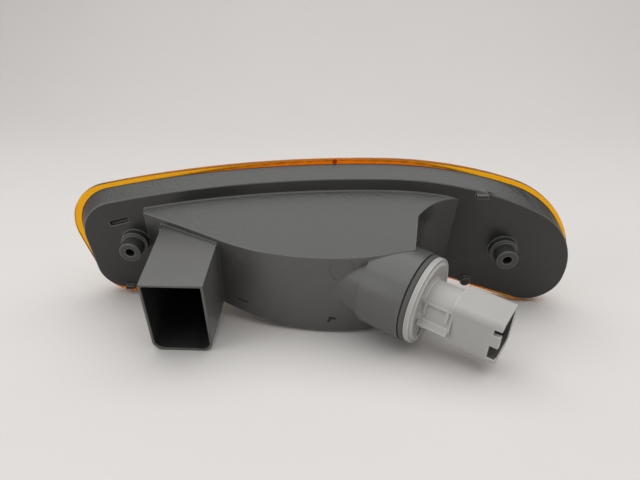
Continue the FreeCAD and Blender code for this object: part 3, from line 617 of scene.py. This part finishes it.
class LAMP_OT_housing(bpy.types.Operator):
    """Round the housing's edges and give it its grain and the bright film inside"""

    bl_idname = "lamp.housing"
    bl_label = "Housing"

    def execute(self, context):
        look = context.scene.lamp_housing
        shell = merged_copy("housing", "housing_shell", whole=False)
        smooth = {"rough": (0.27, 0.37), "grain_depth": 0.06, "gloss": 0.55}
        # Painted light: the plate's plastic is painted paler where it stands proud.
        coat(shell,
             moulded_plastic("housing_plastic", look.colour, look.grain,
                             painted_light=list(look.proud_painted_light), **smooth),
             moulded_plastic("housing_edge", look.edge_colour, look.grain, **smooth),
             metal("reflector_film", look.film_colour, rough=0.16),
             moulded_plastic("housing_grain", look.grain_colour, look.grain,
                             rough=(0.32, 0.42), grain_depth=0.45, gloss=0.8),
             moulded_plastic("housing_deep", look.painted_shade_colour, look.grain,
                             rough=(0.6, 0.7), grain_depth=0.05, marks=0.0, tone=0.1))
        # The rounded edges take the paler edge colour: painted highlight and wear.
        round_edges(shell, look.edge_round, edge_slot=EDGE)
        self.silver(shell)
        self.grain_and_painted_shade(shell)
        dress(shell, "lamp", "housing_plastic", "housing")
        return {"FINISHED"}

    def silver(self, shell):
        """Film goes on the faces that look straight at the lens across the lamp's inside."""
        walls = surface_tree(shell.data)
        front = surface_tree(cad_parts["lens"].data)
        forward = LENS_SIDE.normalized()
        for face in shell.data.polygons:
            start = face.center + face.normal * RAY_START
            if walls.ray_cast(start, forward, WALL_SIGHT)[0] is None:
                spot, _, _, gap = front.ray_cast(start, forward, LENS_SIGHT)
                if spot is not None and gap > LENS_GAP and face.normal.dot(forward) > FILM_FORWARD:
                    face.material_index = FILM

    def grain_and_painted_shade(self, shell):
        """Coarse grain goes on the bulge's top and the rim, and near black painted shade into the pocket
        and the leg.
        """
        turn = REST.to_3x3().inverted()
        for face in shell.data.polygons:
            if face.material_index != PLASTIC:
                continue
            place = in_lamp(face.center)
            normal = turn @ face.normal
            # Painted shade: the pocket and the leg's inside are painted near black.
            if self.in_pocket(place) or self.in_leg(place, normal):
                face.material_index = PAINTED_SHADE
            elif self.on_rim(place, normal) or self.on_bulge(place, normal, in_tube(face.center)[1]):
                face.material_index = COARSE

    def in_pocket(self, place):
        """Inside of the pocket at the left of the plate."""
        near = (place - POCKET).length < POCKET_REACH
        return near and POCKET_DEPTHS[0] < place.y < POCKET_DEPTHS[1]

    def in_leg(self, place, normal):
        """Walls of the leg that have its axis ahead of them."""
        inward = LEG_AXIS - place
        inward.y = 0.0
        near = abs(inward.x) < LEG_HALF_WIDTH and abs(inward.z) < LEG_HALF_HEIGHT
        return near and place.y < LEG_START and inward.dot(normal) > LEG_AHEAD

    def on_rim(self, place, normal):
        """Outside of the rim, as far as its tilted edge."""
        edge = RIM_DEPTH + place.z * math.tan(RIM_TILT)
        return RIM_START < place.y < edge - RIM_MARGIN and abs(normal.y) < RIM_SIDEWAYS

    def on_bulge(self, place, normal, step):
        """Top of the bulge, without the tube that grows out of it."""
        on_tube = step.length < TUBE_RADIUS and step.normalized().dot(normal) > TUBE_OUTWARD
        on_top = normal.z > BULGE_UP and normal.y < BULGE_BACK and place.y < BULGE_START
        return on_top and not on_tube


class LAMP_OT_marks(bpy.types.Operator):
    """Add the small marks that the mould leaves on the back wall, with near-black bars as painted shade of
    its slits
    """

    bl_idname = "lamp.marks"
    bl_label = "Mould marks"

    def execute(self, context):
        coats = bpy.data.objects["housing_shell"].data.materials
        pins = joined("ejector_rings", [self.ring(*mark) for mark in EJECTOR_RINGS])
        coat(pins, coats[PLASTIC])
        bpy.ops.object.shade_smooth()
        dress(pins, "lamp", "housing_plastic")
        slots = []
        # Painted shade: near-black bars laid on the wall stand in for the shade inside slits.
        for spot, turn, tip, size in WALL_SLOTS:
            slots.append(bar("slot", wall_place(spot, turn) @ turned(tip, "Y"), size))
        painted_shade_bars = joined("wall_slots", slots)
        coat(painted_shade_bars, coats[PAINTED_SHADE])
        round_edges(painted_shade_bars, SLOT_ROUND * MM)
        dress(painted_shade_bars, "lamp", "housing_plastic")
        return {"FINISHED"}

    def ring(self, spot, turn, radius):
        """Thin ring that an ejector pin leaves, flat on the wall."""
        bpy.ops.mesh.primitive_torus_add(
            major_radius=radius * MM, minor_radius=RING_HALF_THICKNESS * MM,
            major_segments=48, minor_segments=8)
        ring = bpy.context.active_object
        ring.matrix_world = wall_place(spot, turn) @ turned(90, "X")
        bpy.ops.object.transform_apply(location=True, rotation=True, scale=False)
        return ring


class LAMP_OT_lens(bpy.types.Operator):
    """Polish the amber lens and run the weld bead round its joint with the housing"""

    bl_idname = "lamp.lens"
    bl_label = "Lens and weld"

    def execute(self, context):
        look = context.scene.lamp_lens
        lens = merged_copy("lens", "amber_lens", whole=False)
        coat(lens,
             clear_plastic("amber_lens", look.colour, transmission=1.0, rough=0.07, index=ACRYLIC),
             clear_plastic("amber_flange", look.flange_colour, transmission=1.0, rough=0.20, index=ACRYLIC),
             clear_plastic("amber_burnt", look.burnt_colour, transmission=0.4, rough=0.30, index=ACRYLIC))
        round_edges(lens, look.edge_round, sharp=LENS_SHARP)
        for face in lens.data.polygons:
            place = in_lamp(face.center)
            if (place - TOP_PIP).length < PIP_REACH:
                face.material_index = BURNT
            elif place.y < RIM_DEPTH + FLANGE_WIDTH:
                face.material_index = FLANGE
        dress(lens, "lamp", "amber_lens", "lens")
        self.weld(look)
        return {"FINISHED"}

    def weld(self, look):
        """The bead follows the outer edge of the housing's rim where the flange sits on it."""
        bead = merged_copy("housing", "weld_bead")
        normal = REST.to_3x3() @ Matrix.Rotation(-RIM_TILT, 3, "X") @ Vector((0, 1, 0))
        point = REST @ Vector((0, RIM_DEPTH * MM, 0)) - normal * WELD_INSET * MM
        bpy.ops.object.mode_set(mode="EDIT")
        bpy.ops.mesh.select_all(action="SELECT")
        bpy.ops.mesh.bisect(plane_co=point, plane_no=normal, clear_inner=True, clear_outer=True)
        bpy.ops.object.mode_set(mode="OBJECT")
        self.keep_longest(bead)
        bpy.ops.object.convert(target="CURVE")
        bead.data.bevel_depth = look.weld_radius
        bead.data.bevel_resolution = 1
        bpy.ops.object.convert(target="MESH")
        coat(bead, moulded_plastic("weld_flash", look.weld_colour, grains=700.0, rough=(0.25, 0.45),
                                   grain_depth=0.4, marks=0.1, tone=0.4))
        bpy.ops.object.shade_smooth()
        dress(bead, "lamp", "amber_lens")

    def keep_longest(self, bead):
        """Delete every loop of the cut but the longest one."""
        mesh = bead.data

        def reach(members):
            xs = [mesh.vertices[index].co.x for index in members]
            return max(xs) - min(xs) if xs else 0.0

        loops, home = [], {}
        for edge in mesh.edges:
            members = set(edge.vertices)
            for index in {home[vertex] for vertex in edge.vertices if vertex in home}:
                members |= loops[index]
                loops[index] = set()
            loops.append(members)
            for vertex in members:
                home[vertex] = len(loops) - 1
        longest = max(loops, key=reach)
        pick(bead, "vertices", lambda vertex: vertex.index not in longest)
        bpy.ops.mesh.delete(type="VERT")
        bpy.ops.object.mode_set(mode="OBJECT")


class LAMP_OT_holder(bpy.types.Operator):
    """Finish the twist-in bulb holder and its sealing ring"""

    bl_idname = "lamp.holder"
    bl_label = "Bulb holder"

    def execute(self, context):
        look = context.scene.lamp_holder
        holder = merged_copy("bulb_holder", "holder_body")
        clean = {"grains": 1700.0, "grain_depth": 0.06, "marks": 0.12, "tone": 0.05}
        coat(holder,
             moulded_plastic("holder_plastic", look.colour, rough=(0.42, 0.55), **clean),
             moulded_plastic("holder_edge", look.edge_colour, rough=(0.42, 0.55), **clean),
             moulded_plastic("holder_shade", look.shade_colour, rough=(0.5, 0.6), **clean))
        round_edges(holder, look.edge_round, edge_slot=EDGE)
        self.shade(holder)
        dress(holder, "holder", "holder_plastic", "bulb_holder")
        self.window(holder.data.materials[PLASTIC])
        gasket = merged_copy("holder_gasket", "sealing_ring")
        coat(gasket, moulded_plastic("gasket_rubber", look.gasket_colour, grains=900.0, rough=(0.6, 0.8),
                                     grain_depth=0.1, marks=0.3, tone=0.2))
        round_edges(gasket, GASKET_ROUND * MM)
        dress(gasket, "holder", "gasket_rubber", "holder_gasket")
        return {"FINISHED"}

    def window(self, plastic):
        """A rib and two short posts frame the window in the side of the neck."""
        bars = []
        for name, angle, out, size in WINDOW_BARS:
            place = tube_place() @ turned(angle, "Z") @ moved((NECK_RADIUS, 0, out))
            bars.append(bar(name, place, size))
        frame_bars = joined("neck_window", bars)
        coat(frame_bars, plastic)
        round_edges(frame_bars, WINDOW_ROUND * MM)
        dress(frame_bars, "holder", "holder_plastic")

    def shade(self, holder):
        """The inside of the plug shroud is darker than its outside."""
        turn = REST.to_3x3().inverted()
        start, end = SHROUD_FLOOR
        for face in holder.data.polygons:
            out, step = in_tube(face.center)
            inward = (turn @ face.normal).dot(step.normalized()) < SHROUD_INWARD
            if start < out < end or (start < out < SHROUD_END and inward):
                face.material_index = SHADE


class LAMP_OT_terminals(bpy.types.Operator):
    """Finish the two brass terminals in the plug shroud"""

    bl_idname = "lamp.terminals"
    bl_label = "Terminals"

    def execute(self, context):
        brass = metal("terminal_metal", context.scene.lamp_holder.terminal_colour, rough=0.28)
        for node in ("feed_terminal", "ground_terminal"):
            blade = merged_copy(node, node.replace("terminal", "blade"))
            coat(blade, brass)
            round_edges(blade, BLADE_ROUND * MM)
            dress(blade, "holder", "terminal_metal", node)
        return {"FINISHED"}


class LAMP_OT_bulb(bpy.types.Operator):
    """Finish the bulb: cap, insulator, contact, glass, stem and filament"""

    bl_idname = "lamp.bulb"
    bl_label = "Bulb"

    def execute(self, context):
        look = context.scene.lamp_bulb
        coats = {
            "bulb_glass": clear_plastic("bulb_glass", look.glass_colour, transmission=1.0, rough=0.02,
                                        index=SODA_GLASS),
            "cap_metal": metal("cap_metal", look.cap_colour, rough=0.24),
            "cap_insulator": moulded_plastic("cap_insulator", look.insulator_colour, grains=800.0,
                                             rough=(0.2, 0.35), grain_depth=0.05, marks=0.1, tone=0.3),
            "contact_metal": metal("contact_metal", look.contact_colour, rough=0.3),
            "filament_metal": metal("filament_metal", look.wire_colour, rough=0.4),
        }
        for node, slot, radius in BULB_PIECES:
            piece = merged_copy(node, node.replace("bulb_", "lamp_"))
            coat(piece, coats[slot])
            if radius:
                round_edges(piece, radius * MM)
            dress(piece, "holder", slot, node)
        return {"FINISHED"}


class LAMP_OT_stage(bpy.types.Operator):
    """Lay the pale sweep, hang the soft light and set the camera"""

    bl_idname = "lamp.stage"
    bl_label = "Stage"

    def execute(self, context):
        look = context.scene.lamp_stage
        self.sweep(look)
        self.hang("softbox", place=(0.12, -0.05, 0.90), target=(0.12, -0.05, 0.0), size=(1.9, 1.5),
                  power=look.softbox_power)
        self.hang("side_fill", place=(-0.70, -0.40, 0.30), target=(-0.06, 0.0, 0.03), size=(0.5, 0.5),
                  power=look.fill_power)
        self.room(context, look)
        self.camera(context, look)
        return {"FINISHED"}

    def sweep(self, look):
        """Floor that bends up into a wall far behind the lamp."""
        bpy.ops.object.select_all(action="DESELECT")
        bpy.ops.mesh.primitive_plane_add(size=1.0, location=(0, 0, 0))
        floor = bpy.context.active_object
        floor.name = "pale_sweep"
        floor.scale = FLOOR_SIZE
        floor.location = FLOOR_PLACE
        bpy.ops.object.transform_apply(location=True, rotation=False, scale=True)
        points = floor.data.vertices
        pick(floor, "edges", lambda edge: all(points[v].co.y > FLOOR_PLACE[1] for v in edge.vertices))
        bpy.ops.mesh.extrude_edges_move(TRANSFORM_OT_translate={"value": (0, 0, SWEEP_HEIGHT)})
        bpy.ops.object.mode_set(mode="OBJECT")
        bend = floor.modifiers.new("sweep", "BEVEL")
        bend.width = SWEEP_BEND
        bend.segments = 24
        bend.limit_method = "ANGLE"
        apply_modifiers(floor)
        bpy.ops.object.shade_smooth()
        material, tree, shader = new_material("pale_sweep")
        grain = use_group(tree, moulded_grain(), Grains=300.0, Mottle_size=5.0)
        pale = list(look.floor_colour)
        tint = blend_colours(tree, grain.outputs["Mottle"], toned(pale, FLOOR_MOTTLE), pale)
        tree.links.new(tint, shader.inputs["Base Color"])
        shader.inputs["Roughness"].default_value = 0.6
        shader.inputs["Specular IOR Level"].default_value = 0.2
        coat(floor, material)

    def hang(self, name, place, target, size, power):
        """Soft lamp of the given size that looks at a target."""
        bpy.ops.object.light_add(type="AREA", location=place)
        lamp = bpy.context.active_object
        lamp.name = name
        lamp.data.shape = "RECTANGLE"
        lamp.data.size, lamp.data.size_y = size
        lamp.data.energy = power
        lamp.rotation_euler = (Vector(target) - lamp.location).to_track_quat("-Z", "Y").to_euler()

    def room(self, context, look):
        """Even light from all round, with a tone of its own where the room is seen or mirrored."""
        world = bpy.data.worlds.new("even_room")
        context.scene.world = world
        world.use_nodes = True
        tree = world.node_tree
        back = tree.nodes["Background"]
        back.inputs["Color"].default_value = look.room_colour
        path = lay(tree, "ShaderNodeLightPath")
        seen = path.outputs["Is Camera Ray"]
        for ray in ("Is Glossy Ray", "Is Transmission Ray"):
            seen = combine(tree, "MAXIMUM", seen, path.outputs[ray])
        tree.links.new(spread(tree, seen, look.room_light, look.backdrop), back.inputs["Strength"])
        context.scene.view_settings.view_transform = "Standard"

    def camera(self, context, look):
        """The camera's place was found from the lamp's outline in the photograph."""
        yaw, pitch, roll = (math.radians(angle) for angle in CAMERA_ANGLES)
        back = Vector((math.sin(yaw) * math.cos(pitch), -math.cos(yaw) * math.cos(pitch), math.sin(pitch)))
        level = Vector((math.cos(yaw), math.sin(yaw), 0.0))
        upright = back.cross(level)
        right = level * math.cos(roll) + upright * math.sin(roll)
        up = upright * math.cos(roll) - level * math.sin(roll)
        place = Matrix((right, up, back)).transposed().to_4x4()
        place.translation = Vector(CAMERA_PLACE) * MM
        bpy.ops.object.camera_add()
        camera = context.active_object
        camera.matrix_world = REST @ place
        camera.data.sensor_width = 36.0
        camera.data.lens = look.lens_length
        camera.data.clip_start = 0.01
        context.scene.camera = camera


class LAMP_PT_panel(bpy.types.Panel):
    """Shows the lamp's looks and its steps in the sidebar"""

    bl_idname = "LAMP_PT_panel"
    bl_label = "Indicator lamp"
    bl_space_type = "VIEW_3D"
    bl_region_type = "UI"
    bl_category = "Lamp"

    def draw(self, context):
        for look_name in LOOKS:
            look = getattr(context.scene, look_name)
            for key in look.bl_rna.properties.keys():
                if key not in {"rna_type", "name"}:
                    self.layout.prop(look, key)
        for operator in OPERATORS:
            self.layout.operator(operator.bl_idname)


LOOKS = {
    "lamp_housing": HousingLook, "lamp_lens": LensLook, "lamp_holder": HolderLook,
    "lamp_bulb": BulbLook, "lamp_stage": StageLook,
}
OPERATORS = (
    LAMP_OT_housing, LAMP_OT_marks, LAMP_OT_lens, LAMP_OT_holder, LAMP_OT_terminals, LAMP_OT_bulb,
    LAMP_OT_stage,
)


def register():
    """Add the classes and hang the looks on the scene."""
    for group in (*LOOKS.values(), *OPERATORS, LAMP_PT_panel):
        bpy.utils.register_class(group)
    for name, group in LOOKS.items():
        setattr(bpy.types.Scene, name, bpy.props.PointerProperty(type=group))


def unregister():
    """Take the looks and the classes away again."""
    for name in LOOKS:
        delattr(bpy.types.Scene, name)
    for group in reversed((*LOOKS.values(), *OPERATORS, LAMP_PT_panel)):
        bpy.utils.unregister_class(group)


def main():
    """Set the stage and finish the pieces in order."""
    register()
    bpy.ops.lamp.stage()
    bpy.ops.lamp.housing()
    bpy.ops.lamp.marks()
    bpy.ops.lamp.lens()
    bpy.ops.lamp.holder()
    bpy.ops.lamp.terminals()
    bpy.ops.lamp.bulb()


if __name__ == "__main__":
    main()
